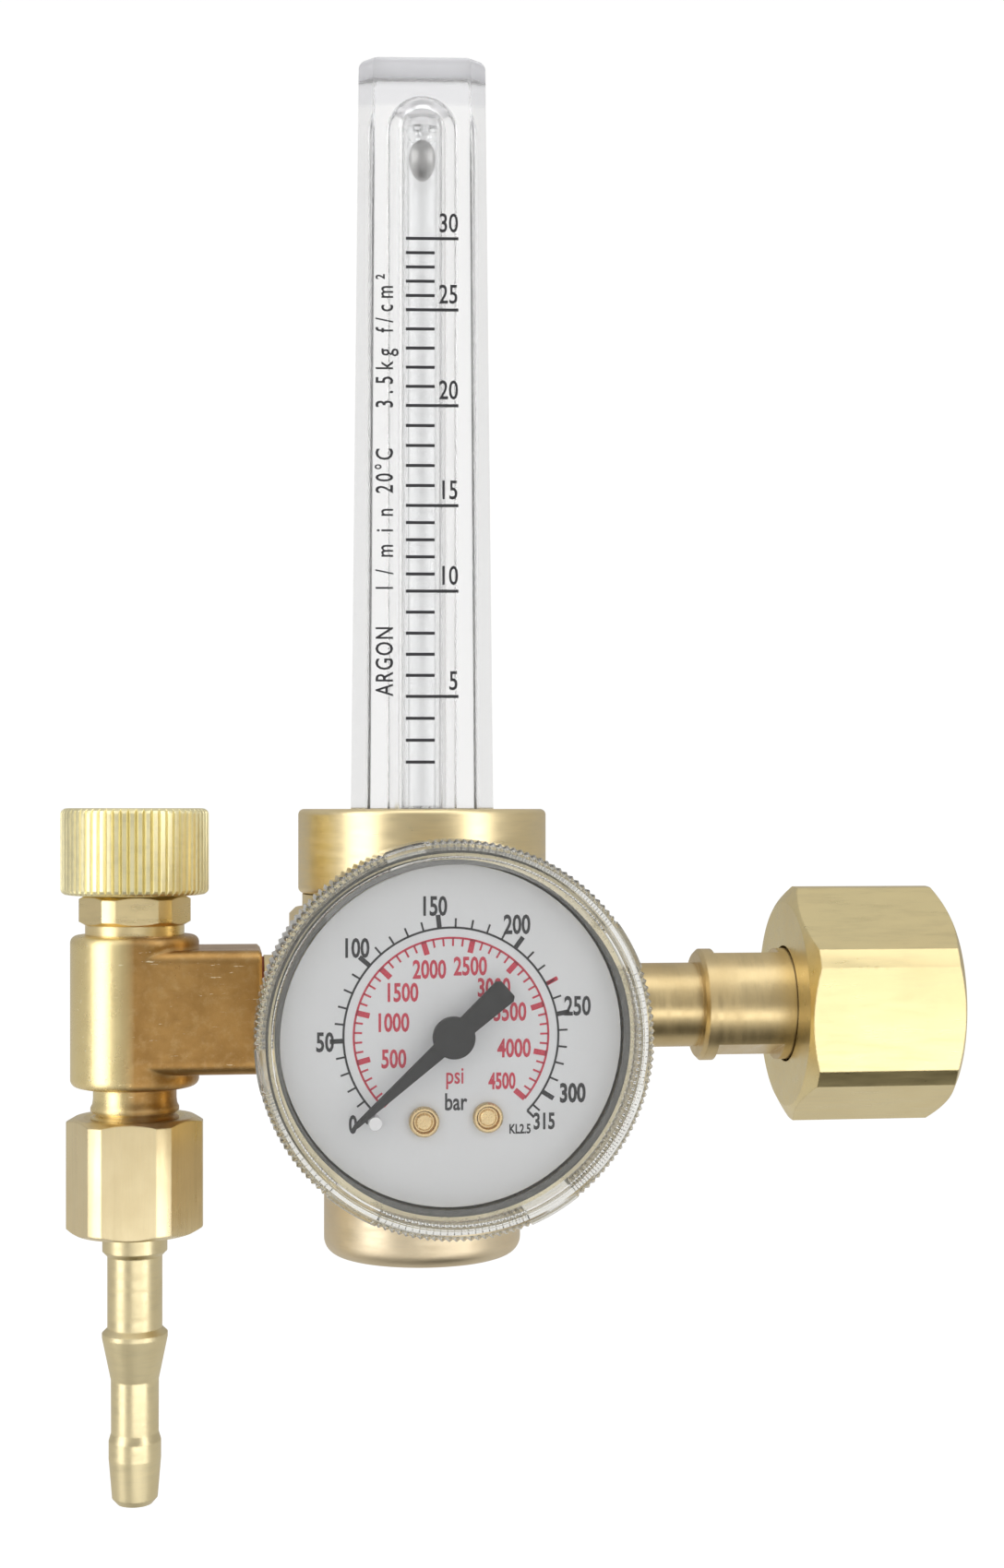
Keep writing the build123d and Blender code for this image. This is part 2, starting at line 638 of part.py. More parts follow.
def gear_points(teeth, start, count):
    """Straight-flanked teeth with generous backlash, from one angle round, as a solid sector outline."""
    pitch_radius = GEAR_MODULE * teeth / 2
    root = pitch_radius - 1.25 * GEAR_MODULE
    tip = pitch_radius + 0.75 * GEAR_MODULE
    step = 2 * pi / teeth
    points = []
    for index in range(count):
        middle = start + step * index
        for radius, offset in ((root, -0.33), (tip, -0.11), (tip, 0.11), (root, 0.33)):
            angle = middle + step * offset
            points.append((radius * cos(angle), radius * sin(angle)))
    return points


def mesh_angle():
    """Direction from the gauge's axis to the sector's pivot, anticlockwise from +X."""
    return radians(90.0 - SECTOR_DIRECTION)


def pinion_arbor():
    """Arbor with the pinion between the movement's plates; a tooth gap faces the sector."""
    step = 2 * pi / PINION_TEETH
    outline = gear_points(PINION_TEETH, mesh_angle() + step / 2, PINION_TEETH)
    wheel = Pos(0, 0, 30.4) * extrude(make_face(Polyline(*outline, close=True)), 1.8)
    return at_gauge(wheel + disc(0.55, MOVEMENT_Z[0] + 0.1, POINTER_Z[1] + 0.15))


def sector_pivot():
    distance = GEAR_MODULE * (PINION_TEETH + SECTOR_TEETH) / 2
    return distance * cos(mesh_angle()), distance * sin(mesh_angle())


def sector_gear():
    """Toothed sector; its pivot arbor, and a tail for the link, are one piece with it."""
    step = 2 * pi / SECTOR_TEETH
    facing = mesh_angle() + pi
    count = 12
    first = -9
    teeth = gear_points(SECTOR_TEETH, facing + first * step, count)
    blade = make_face(Polyline((0, 0), *teeth, close=True))
    wheel = Pos(0, 0, 30.8) * extrude(blade, 1.0)
    wheel += disc(1.6, 30.4, 32.2) + disc(0.7, MOVEMENT_Z[0] + 0.1, MOVEMENT_Z[3] - 0.1)
    tail = Rot(0, 0, TAIL_DIRECTION) * block((0, TAIL_LENGTH + 0.8), (-0.9, 0.9), (30.8, 31.8))
    pin = Rot(0, 0, TAIL_DIRECTION) * (Pos(TAIL_LENGTH, 0, 0) * disc(0.4, 29.9, 31.0))
    return at_gauge(Pos(*sector_pivot(), 0) * (wheel + tail + pin))


def link_place():
    x, y = sector_pivot()
    angle = radians(TAIL_DIRECTION)
    return x + TAIL_LENGTH * cos(angle), y + TAIL_LENGTH * sin(angle)


def link_rod():
    """Short link from the sector's tail towards the bourdon tube's tip."""
    bar = disc(0.95, 29.9, 30.4) + block((0, LINK_LENGTH), (-0.45, 0.45), (29.9, 30.4))
    bar += Pos(LINK_LENGTH, 0, 0) * disc(0.95, 29.9, 30.4)
    bar -= disc(0.4 + FIT, 29, 31)
    bar -= Pos(LINK_LENGTH, 0, 0) * disc(0.4, 29, 31)
    return at_gauge(Pos(*link_place(), 0) * (Rot(0, 0, LINK_DIRECTION) * bar))


def plate_outline(grow):
    """Movement plate: round the gauge's axis and the sector's pivot."""
    x, y = sector_pivot()
    width = 2 * (4.2 + grow)
    bar = SlotCenterToCenter(sqrt(x * x + y * y), width)
    return Pos(x / 2, y / 2, 0) * (Rot(0, 0, degrees(mesh_angle())) * bar)


def movement_plate(low, high):
    plate = Pos(0, 0, low) * extrude(plate_outline(0.3), high - low)
    plate -= disc(0.55 + FIT, low - 1, high + 1)
    plate -= Pos(*sector_pivot(), 0) * disc(0.7 + FIT, low - 1, high + 1)
    for place in pillar_places():
        plate -= Pos(*place, 0) * disc(0.6, low - 1, high + 1)
    return at_gauge(plate)


def pillar_places():
    """The pillars stand at both ends of the plates, clear of the sector's swing."""
    x, y = sector_pivot()
    along = cos(mesh_angle()), sin(mesh_angle())
    return (-3.4 * along[0], -3.4 * along[1]), (x + 3.3 * along[0], y + 3.3 * along[1])


def movement_back_plate():
    return movement_plate(MOVEMENT_Z[0], MOVEMENT_Z[1])


def movement_front_plate():
    return movement_plate(MOVEMENT_Z[2], MOVEMENT_Z[3])


def movement_pillars():
    low, inner_low, inner_high, high = MOVEMENT_Z
    pillar = disc(1.0, inner_low, inner_high) + disc(0.6, low, high)
    return at_gauge(Compound([Pos(*place, 0) * pillar for place in pillar_places()]))


def hairspring():
    """Flat spiral in half-turn arcs, between the pinion and the front plate."""
    strip = 0.12
    pitch = 0.5
    spiral = None
    for half in range(6):
        radius = 1.0 + pitch / 2 * half
        side = -1 if half % 2 else 1
        centre = 0.0 if half % 2 == 0 else -pitch / 2
        arc = ring(radius + strip, radius - strip, 32.5, 32.9)
        arc &= block((-9, 9), sorted((0, side * 9)), (32, 33.2))
        arc = Pos(centre, 0, 0) * arc
        spiral = arc if spiral is None else spiral + arc
    return at_gauge(spiral)


def bourdon_tube():
    """Flattened tube in a C round the movement; its root is on the socket's arm."""
    section = Rectangle(1.6, 4.6) - Rectangle(0.9, 3.8)
    section = Plane.XZ * (Pos(BOURDON_R, 30.4) * section)
    tube = revolve(section, Axis.Z, revolution_arc=BOURDON_ENDS[1] - BOURDON_ENDS[0])
    return at_gauge(Rot(0, 0, BOURDON_ENDS[0]) * tube)


def gauge_socket():
    """Threaded nipple, spanner hexagon, and the inner arm that feeds the bourdon tube."""
    shank = disc(PORT_THREAD_R, SOCKET_END, 22) + disc(5.0, 22, CASE_BACK + 1)
    shank += hexagon(SOCKET_FLATS, 7.7, FRONT_BOSS_END + 0.4, CASE_BACK, rotation=0)
    shank += disc(CASE_SCREW_X + 2.2, CASE_BACK + CASE_WALL, 26.2)
    arm = block((0, BOURDON_R - 1.0), (-2.6, 2.6), (25.2, 27.4))
    arm += block((BOURDON_R - 2.6, BOURDON_R - 1.0), (-2.6, 2.6), (27.4, 32.4))
    shank += Rot(0, 0, BOURDON_ENDS[1] - 4) * arm
    shank -= disc(1.0, SOCKET_END - 1, 26.4)
    for side in (-1, 1):
        shank -= Pos(side * CASE_SCREW_X, 0, 0) * disc(1.25, CASE_BACK, 27)
    return at_gauge(shank)


def gauge_gasket():
    return at_gauge(ring(7.0, PORT_THREAD_R, FRONT_BOSS_END, FRONT_BOSS_END + 0.4))


def case_screws():
    """Two screws through the case's back into the socket's flange."""
    screw = disc(2.0, CASE_BACK - 1.0, CASE_BACK) + disc(1.25, CASE_BACK, CASE_BACK + 2.1)
    screw -= block((-3, 3), (-0.3, 0.3), (CASE_BACK - 2, CASE_BACK - 0.5))
    return at_gauge(Compound([Pos(side * CASE_SCREW_X, 0, 0) * screw for side in (-1, 1)]))


PIECES = (
    regulator_body, passage_plug, bottom_cap, piston, piston_o_ring, main_spring, push_pin, seat_nozzle,
    poppet, poppet_seat, poppet_spring, inlet_stem, inlet_filter, inlet_gasket, inlet_nut, flow_tube_block,
    metering_tube, upper_ball_stop, lower_ball_stop, float_ball, block_seal, feed_seal, tube_collar,
    outlet_valve_body, arm_gasket, bonnet, valve_spindle, spindle_o_ring, control_knob, knob_screw, hose_nut,
    hose_tail, gauge_window, gauge_case, gauge_dial, dial_screws, dial_bracket, pointer_stop_pin,
    gauge_pointer, pinion_arbor, sector_gear, link_rod, movement_back_plate, movement_front_plate,
    movement_pillars, hairspring, bourdon_tube, gauge_socket, gauge_gasket, case_screws,
)


def main():
    os.makedirs("parts", exist_ok=True)
    for piece in PIECES:
        export_step(piece(), f"parts/{piece.__name__}.step")


main()
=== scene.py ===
"""Looks for the gas regulator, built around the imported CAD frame.

Metres, in the frame's own axes: +X out of the inlet nut, the gauge faces -Y, +Z up the flow tube.
"""

import json
from math import cos, pi, radians, sin, sqrt, tau

import bmesh
import bpy
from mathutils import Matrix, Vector


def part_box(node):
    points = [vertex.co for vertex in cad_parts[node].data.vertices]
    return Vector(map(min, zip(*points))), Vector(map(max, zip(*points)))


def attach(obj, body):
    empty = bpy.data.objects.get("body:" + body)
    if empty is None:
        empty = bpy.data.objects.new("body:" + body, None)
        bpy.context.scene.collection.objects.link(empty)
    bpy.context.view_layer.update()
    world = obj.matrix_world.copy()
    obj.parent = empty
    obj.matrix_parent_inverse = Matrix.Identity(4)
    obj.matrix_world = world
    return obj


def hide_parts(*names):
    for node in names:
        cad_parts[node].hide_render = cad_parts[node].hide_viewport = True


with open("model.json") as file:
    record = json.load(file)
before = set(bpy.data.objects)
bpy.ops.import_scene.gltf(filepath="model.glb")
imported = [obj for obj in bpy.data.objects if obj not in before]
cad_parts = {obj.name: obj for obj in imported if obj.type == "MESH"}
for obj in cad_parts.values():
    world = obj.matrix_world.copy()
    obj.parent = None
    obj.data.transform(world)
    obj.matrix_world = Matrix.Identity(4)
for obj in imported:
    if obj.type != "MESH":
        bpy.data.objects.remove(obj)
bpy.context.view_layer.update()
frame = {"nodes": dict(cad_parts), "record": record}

MM = 0.001
scene = bpy.context.scene
scene.view_settings.view_transform = "Standard"


# ---------------------------------------------------------------- places from the frame

def middle(node):
    low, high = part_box(node)
    return (low + high) / 2


BODY = middle("bottom_cap")
VALVE = middle("control_knob")
DIAL_LOW, DIAL_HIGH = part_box("gauge_dial")
DIAL = Vector((BODY.x, DIAL_LOW.y, (DIAL_LOW.z + DIAL_HIGH.z) / 2))   # centre of the dial's printed face


# ---------------------------------------------------------------- node helpers

class Nodes:
    """Short calls for building one material's node tree."""

    def __init__(self, name):
        self.material = bpy.data.materials.new(name)
        self.material.use_nodes = True
        self.tree = self.material.node_tree
        self.tree.nodes.clear()
        self.out = self.tree.nodes.new("ShaderNodeOutputMaterial")
        self.shader = self.tree.nodes.new("ShaderNodeBsdfPrincipled")
        self.link(self.shader.outputs[0], self.out.inputs["Surface"])

    def link(self, source, target):
        self.tree.links.new(source, target)

    def add(self, kind, settings=None, **inputs):
        node = self.tree.nodes.new("ShaderNode" + kind)
        for key, value in (settings or {}).items():
            setattr(node, key, value)
        for key, value in inputs.items():
            self.put(node.inputs[key.replace("_", " ")], value)
        return node

    def put(self, socket, value):
        if isinstance(value, bpy.types.NodeSocket):
            self.link(value, socket)
        else:
            socket.default_value = value

    def place(self, stretch=(1, 1, 1)):
        """Object coordinates, in metres, stretched along the axes."""
        source = self.add("TexCoord").outputs["Object"]
        return self.add("Mapping", Vector=source, Scale=stretch).outputs[0]

    def noise(self, scale, stretch=(1, 1, 1), detail=4.0, rough=0.6):
        node = self.add("TexNoise", Vector=self.place(stretch), Scale=scale, Detail=detail, Roughness=rough)
        return node.outputs["Fac"]

    def ramp(self, value, *stops):
        """Colour ramp from (position, colour or grey) stops."""
        node = self.add("ValToRGB", Fac=value)
        marks = node.color_ramp.elements
        while len(marks) < len(stops):
            marks.new(0.5)
        for mark, (position, colour) in zip(marks, stops):
            mark.position = position
            mark.color = (*colour, 1) if isinstance(colour, tuple) else (colour, colour, colour, 1)
        return node.outputs["Color"]

    def span(self, value, low, high, source=(0.0, 1.0)):
        node = self.add("MapRange", Value=value)
        for key, number in zip(("From Min", "From Max", "To Min", "To Max"), (*source, low, high)):
            node.inputs[key].default_value = number
        return node.outputs[0]

    def mix(self, factor, first, second, blend="MIX"):
        node = self.add("Mix", {"data_type": "RGBA", "blend_type": blend})
        self.put(node.inputs["Factor"], factor)
        for socket, value in ((node.inputs["A"], first), (node.inputs["B"], second)):
            self.put(self.colour_socket(node, socket.name), value)
        return self.colour_output(node)

    @staticmethod
    def colour_socket(node, name):
        return next(s for s in node.inputs if s.name == name and s.type == "RGBA")

    @staticmethod
    def colour_output(node):
        return next(s for s in node.outputs if s.type == "RGBA")

    def maths(self, operation, first, second=0.5):
        node = self.add("Math", {"operation": operation})
        self.put(node.inputs[0], first)
        self.put(node.inputs[1], second)
        return node.outputs[0]

    def bump(self, height, distance, strength=1.0, normal=None):
        node = self.add("Bump", Height=height, Distance=distance, Strength=strength)
        if normal is not None:
            self.link(normal, node.inputs["Normal"])
        return node.outputs[0]

    def soft_edge(self, radius):
        return self.add("Bevel", {"samples": 2}, Radius=radius).outputs[0]

    def set(self, **inputs):
        for key, value in inputs.items():
            self.put(self.shader.inputs[key.replace("_", " ")], value)


# ---------------------------------------------------------------- metals

def brass(name, colour, dark, roughness, brush=(1, 1, 1), brush_depth=0.4, tarnish=0.3, edge=0.25):
    """Brass with tool marks stretched along one way, cloudy tarnish, fine pits and softened edges."""
    n = Nodes(name)
    clouds = n.noise(90, detail=6)
    marks = n.noise(900, stretch=brush, detail=3, rough=0.7)
    pits = n.noise(2600, detail=2)
    stain = n.ramp(clouds, (0.42, 0.0), (0.72, tarnish))
    base = n.mix(stain, (*colour, 1), (*dark, 1))
    streak = n.span(marks, 0.93, 1.05, source=(0.3, 0.7))
    base = n.mix(1.0, base, n.ramp(streak, (0.9, 0.9), (1.0, 1.0)), blend="MULTIPLY")
    rough = n.span(marks, roughness * 0.82, roughness * 1.25, source=(0.3, 0.7))
    rough = n.maths("ADD", rough, n.span(clouds, 0.0, 0.07, source=(0.4, 0.8)))
    normal = n.bump(marks, brush_depth * 0.012 * MM, 0.6, normal=n.soft_edge(edge * MM))
    normal = n.bump(n.ramp(pits, (0.30, 0.0), (0.38, 1.0)), 0.006 * MM, 0.35, normal=normal)
    n.set(Base_Color=base, Metallic=1.0, Roughness=rough, Normal=normal)
    return n.material


def forged_brass():
    """Hot-forged skin, brown oxide with ochre patches, from the barrel's middle along the arm.

    The barrel's far side is turned bright. Scratches and worn edges lie over both.
    """
    n = Nodes("forged_brass")
    patches = n.noise(120, detail=8, rough=0.65)
    grain = n.noise(700, detail=6, rough=0.7)
    skin = n.mix(n.ramp(patches, (0.38, 0.0), (0.62, 1.0)), (0.36, 0.20, 0.065, 1), (0.50, 0.29, 0.10, 1))
    skin = n.mix(n.ramp(grain, (0.50, 0.0), (0.72, 0.45)), skin, (0.62, 0.43, 0.20, 1))
    along = n.add("SeparateXYZ", Vector=n.add("TexCoord").outputs["Object"]).outputs["X"]
    arm_start, arm_full = VALVE.x - 1.9 * MM, VALVE.x + 0.3 * MM
    on_arm = n.span(along, 0.0, 1.0, source=(arm_start, arm_full))
    base = n.mix(on_arm, n.mix(patches, (1.0, 0.86, 0.46, 1), (0.84, 0.66, 0.34, 1)), skin)
    turn = n.add("Mapping", Vector=n.place(), Rotation=(0.3, 0.9, 0.2), Scale=(1, 9, 9)).outputs[0]
    lines = n.add("TexNoise", Vector=turn, Scale=260.0, Detail=5.0, Roughness=0.7).outputs["Fac"]
    scratches = n.ramp(lines, (0.655, 0.0), (0.675, 1.0))
    base = n.mix(scratches, base, (0.92, 0.84, 0.62, 1))
    worn = n.soft_edge(0.9 * MM)
    facing = n.add("VectorMath", {"operation": "DOT_PRODUCT"})
    n.link(worn, facing.inputs[0])
    n.link(n.add("NewGeometry").outputs["Normal"], facing.inputs[1])
    edge = n.ramp(facing.outputs["Value"], (0.90, 0.7), (0.99, 0.0))
    base = n.mix(edge, base, (0.80, 0.60, 0.30, 1))
    rough = n.maths("ADD", n.span(patches, 0.10, 0.0, source=(0.35, 0.7)), n.span(on_arm, 0.22, 0.26))
    normal = n.bump(n.maths("MULTIPLY", patches, on_arm), 0.10 * MM, 0.5, normal=worn)
    normal = n.bump(grain, 0.03 * MM, 0.5, normal=normal)
    normal = n.bump(scratches, 0.02 * MM, 0.6, normal=normal)
    n.set(Base_Color=base, Metallic=1.0, Roughness=rough, Normal=normal)
    return n.material


def steel(name, colour, roughness):
    """Steel with a fine grain in colour, gloss and height."""
    n = Nodes(name)
    marks = n.noise(1500, detail=4)
    darker = tuple(c * 0.7 for c in colour)
    base = n.mix(n.span(marks, 0.0, 0.4), (*colour, 1), (*darker, 1))
    n.set(Base_Color=base, Metallic=1.0, Roughness=n.span(marks, roughness * 0.8, roughness * 1.3),
          Normal=n.bump(marks, 0.004 * MM, 0.5, normal=n.soft_edge(0.1 * MM)))
    return n.material


# ---------------------------------------------------------------- plastics, rubber, paint

def matt(name, colour, roughness, grain=600, depth=0.02, vary=0.15):
    """Rubber, fibre, moulded plastic or paint: a grain in colour, gloss and height."""
    n = Nodes(name)
    speckle = n.noise(grain, detail=5)
    darker = tuple(c * (1 - vary) for c in colour)
    base = n.mix(n.span(speckle, 0.0, 1.0, source=(0.3, 0.7)), (*colour, 1), (*darker, 1))
    n.set(Base_Color=base, Roughness=n.span(speckle, roughness * 0.9, roughness * 1.15),
          Normal=n.bump(speckle, depth * MM, 0.4))
    return n.material


def clear(name, tint, roughness, index, ripple=0.01, grain=140):
    """Clear moulded plastic with slow flow ripples."""
    n = Nodes(name)
    flow = n.noise(grain, stretch=(1, 1, 0.25), detail=2)
    haze = n.noise(1200, detail=3)
    n.set(Base_Color=(*tint, 1), Transmission_Weight=1.0, IOR=index,
          Roughness=n.span(haze, roughness * 0.5, roughness * 1.5, source=(0.3, 0.7)),
          Normal=n.bump(flow, ripple * MM, 0.5))
    return n.material


def column_plastic():
    """Cast acrylic of the column: painted shade greys it where seen at a slant, and its moulded top end is
    frosted.
    """
    n = Nodes("clear_plastic")
    flow = n.noise(140, stretch=(1, 1, 0.25), detail=2)
    height = n.add("SeparateXYZ", Vector=n.add("TexCoord").outputs["Object"]).outputs["Z"]
    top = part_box("flow_tube_block")[1].z
    frost = n.span(height, 0.0, 1.0, source=(top - 3.6 * MM, top - 3.0 * MM))
    slant = n.add("LayerWeight", Blend=0.5).outputs["Facing"]
    # painted shade: the clear base colour turns grey where the face is seen at a slant
    shade = n.ramp(slant, (0.0, 0.955), (0.18, 0.955), (0.32, 0.80), (0.95, 0.50))
    base = n.mix(frost, shade, (0.78, 0.78, 0.81, 1))
    n.set(Base_Color=base, Transmission_Weight=0.93, IOR=1.49, Roughness=n.span(frost, 0.075, 0.42),
          Normal=n.bump(flow, 0.01 * MM, 0.5))
    return n.material


def window_plastic():
    """Polycarbonate of the gauge's cap: clear over the dial, greyer in the knurled skirt."""
    n = Nodes("window_plastic")
    flow = n.noise(140, detail=2)
    spot = n.add("SeparateXYZ", Vector=n.add("TexCoord").outputs["Object"])
    across = n.maths("SUBTRACT", spot.outputs["X"], DIAL.x)
    up = n.maths("SUBTRACT", spot.outputs["Z"], DIAL.z)
    reach = n.maths("SQRT", n.maths("ADD", n.maths("MULTIPLY", across, across), n.maths("MULTIPLY", up, up)))
    skirt = n.span(reach, 0.0, 1.0, source=(21.6 * MM, 22.4 * MM))
    base = n.mix(skirt, (0.985, 0.985, 0.98, 1), (0.74, 0.735, 0.70, 1))
    n.set(Base_Color=base, Transmission_Weight=1.0, IOR=1.45, Roughness=n.span(skirt, 0.012, 0.10),
          Normal=n.bump(flow, 0.004 * MM, 0.5))
    return n.material


def ink(name, colour):
    """Printing ink, a little paler where it has spread."""
    n = Nodes(name)
    spread = n.noise(3000, detail=3)
    paler = tuple(min(1, c * 1.25 + 0.01) for c in colour)
    base = n.mix(n.span(spread, 0.0, 0.5), (*colour, 1), (*paler, 1))
    n.set(Base_Color=base, Roughness=n.span(spread, 0.5, 0.62))
    return n.material


def build_materials():
    """Every material by name: the frame's slots, and the closer ones that single pieces take."""
    warm = (0.91, 0.75, 0.42)
    shade = (0.66, 0.48, 0.22)
    return {
        "machined_brass": brass("machined_brass", warm, shade, 0.28, brush=(0.15, 0.15, 1)),
        "polished_brass": brass("polished_brass", (0.90, 0.75, 0.45), (0.74, 0.57, 0.30), 0.32,
                                brush=(0.1, 0.1, 1), brush_depth=0.25, tarnish=0.18),
        "satin_brass": brass("satin_brass", (0.98, 0.90, 0.56), (0.88, 0.77, 0.46), 0.36, brush=(0.5, 0.5, 1),
                             tarnish=0.2, edge=0.1),
        "hose_brass": brass("hose_brass", (0.88, 0.745, 0.46), shade, 0.30, brush=(1, 1, 0.06),
                            brush_depth=0.5),
        "tail_brass": brass("tail_brass", (0.82, 0.71, 0.44), (0.62, 0.49, 0.25), 0.36,
                            brush=(0.15, 0.15, 1)),
        "cap_brass": brass("cap_brass", (0.82, 0.70, 0.50), (0.66, 0.53, 0.34), 0.42,
                           brush=(0.15, 0.15, 1)),
        "nut_brass": brass("nut_brass", (0.89, 0.75, 0.41), (0.72, 0.56, 0.30), 0.30, brush=(0.15, 1, 1),
                           brush_depth=0.25, tarnish=0.2),
        "stem_brass": brass("stem_brass", (0.74, 0.585, 0.32), (0.52, 0.38, 0.18), 0.33,
                            brush=(1, 0.12, 0.12), brush_depth=0.15, tarnish=0.55),
        "forged_brass": forged_brass(),
        "gauge_case_brass": brass("gauge_case_brass", (0.88, 0.80, 0.60), (0.70, 0.60, 0.40), 0.26,
                                  tarnish=0.2),
        "movement_brass": brass("movement_brass", (0.86, 0.68, 0.36), (0.60, 0.42, 0.18), 0.28, edge=0.08),
        "bronze": brass("bronze", (0.58, 0.42, 0.22), (0.36, 0.24, 0.12), 0.42, tarnish=0.5, edge=0.05),
        "steel": steel("steel", (0.72, 0.72, 0.73), 0.20),
        "spring_steel": steel("spring_steel", (0.50, 0.50, 0.52), 0.32),
        "ball_steel": steel("ball_steel", (0.40, 0.39, 0.38), 0.30),
        "seal_rubber": matt("seal_rubber", (0.02, 0.02, 0.02), 0.55),
        "seat_polymer": matt("seat_polymer", (0.80, 0.79, 0.75), 0.40, vary=0.05),
        "gasket_fibre": matt("gasket_fibre", (0.33, 0.10, 0.05), 0.75, vary=0.4),
        "clear_plastic": column_plastic(),
        "window_plastic": window_plastic(),
        "tube_plastic": clear("tube_plastic", (0.95, 0.955, 0.96), 0.06, 1.40),
        "dial_white": matt("dial_white", (0.78, 0.79, 0.81), 0.45, grain=2000, depth=0.003, vary=0.03),
        "pointer_black": matt("pointer_black", (0.011, 0.011, 0.012), 0.58, grain=1800, depth=0.01, vary=0.3),
        "ink_black": ink("ink_black", (0.014, 0.014, 0.018)),
        # dark grey of the ring that paints the rim's shadow round the dial's edge
        "shadow_grey": matt("shadow_grey", (0.16, 0.16, 0.15), 0.5),
        "screw_brass": brass("screw_brass", (0.74, 0.56, 0.30), (0.45, 0.31, 0.14), 0.25, edge=0.05),
        "ink_red": ink("ink_red", (0.56, 0.03, 0.065)),
        "ink_grey": ink("ink_grey", (0.022, 0.022, 0.026)),
    }


def dress_nodes(materials):
    """Every CAD node gets its slot's material, or a closer one where the part is worked differently."""
    special = {
        "inlet_stem": "stem_brass", "inlet_nut": "nut_brass", "hose_nut": "hose_brass",
        "hose_tail": "tail_brass", "bottom_cap": "cap_brass", "float_ball": "ball_steel",
        "upper_ball_stop": "tube_plastic", "metering_tube": "tube_plastic", "gauge_window": "window_plastic",
    }
    for row in frame["record"]["subparts"]:
        node = row["node"]
        shown = frame["nodes"][node]
        material = materials[special.get(node, row["material_slot"])]
        if not shown.material_slots:
            shown.data.materials.append(material)
        for slot in shown.material_slots:
            slot.material = material


# ---------------------------------------------------------------- mesh helpers

def mesh_object(name, bm, material, smooth=False):
    """Object with the finished bmesh, which is freed."""
    mesh = bpy.data.meshes.new(name)
    bm.normal_update()
    bm.to_mesh(mesh)
    bm.free()
    mesh.materials.append(material)
    if smooth:
        mesh.polygons.foreach_set("use_smooth", [True] * len(mesh.polygons))
    made = bpy.data.objects.new(name, mesh)
    scene.collection.objects.link(made)
    return made


def ride(piece, body):
    """Put a new piece on a moving body."""
    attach(piece, body)
    return piece


def lathe(bm, rings, steps, closed=False):
    """Skin between rings, each a function from an angle to a point; a closed lathe joins last to first."""
    rows = [[bm.verts.new(ring(tau * i / steps)) for i in range(steps)] for ring in rings]
    pairs = list(zip(rows, rows[1:]))
    if closed:
        pairs.append((rows[-1], rows[0]))
    for first, second in pairs:
        for i in range(steps):
            j = (i + 1) % steps
            bm.faces.new((first[i], first[j], second[j], second[i]))
    return rows


def facing_out(bm):
    bmesh.ops.recalc_face_normals(bm, faces=bm.faces)


# ---------------------------------------------------------------- knob

KNOB_TEETH = 60
KNOB_TOOTH_DEPTH = 0.42 * MM
KNOB_GROOVE_HALF = 0.22      # half a groove's width, as a share of a tooth
KNOB_STEPS = 8               # steps round one tooth


def build_knob(material):
    """Knurled knob: straight teeth that run out over both rims, and a recessed top."""
    low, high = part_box("control_knob")
    radius = (high.x - low.x) / 2
    root = radius - KNOB_TOOTH_DEPTH
    rim = radius / MM
    # (radius, height over the knob's foot, whether the teeth cut it), millimetres
    profile = [
        (2.5, 0.0, 0), (rim - 1.0, 0.0, 0), (rim - 0.5, 0.08, 1), (rim - 0.15, 0.35, 1), (rim, 0.7, 1),
        (rim, 11.1, 1), (rim - 0.15, 11.45, 1), (rim - 0.5, 11.72, 1), (rim - 0.9, 11.8, 0),
        (4.6, 11.8, 0), (4.2, 11.5, 0), (4.2, 9.6, 0),
        (0.8, 9.6, 0), (0.8, 7.0, 0), (2.0, 7.0, 0), (2.0, 1.6, 0), (2.5, 1.6, 0),
    ]
    bm = bmesh.new()

    def ring(r, z, toothed):
        def point(angle):
            reach = r * MM
            if toothed or reach > root:
                phase = (angle / tau * KNOB_TEETH) % 1.0
                groove = max(0.0, 1 - abs(phase - 0.5) / KNOB_GROOVE_HALF)
                reach = min(reach, radius - KNOB_TOOTH_DEPTH * groove)
            return VALVE.x + reach * cos(angle), VALVE.y + reach * sin(angle), low.z + z * MM
        return point

    lathe(bm, [ring(*row) for row in profile], KNOB_TEETH * KNOB_STEPS, closed=True)
    facing_out(bm)
    knob = mesh_object("knurled_knob", bm, material)
    ride(knob, "knob")
    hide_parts("control_knob")


# ---------------------------------------------------------------- threads

THREAD_STEPS = 72            # steps for one turn
THREAD_FADE = 40             # steps over which each end runs out
THREAD_FLANKS = (0.40, 0.07)     # half widths of the ridge at its foot and crest, shares of the pitch

NUT_THREAD_RADII = (9.80, 9.35)  # foot and crest, millimetres, as the next three
NUT_THREAD_START = 1.2
NUT_THREAD_LENGTH = 8.4
NUT_THREAD_PITCH = 1.814


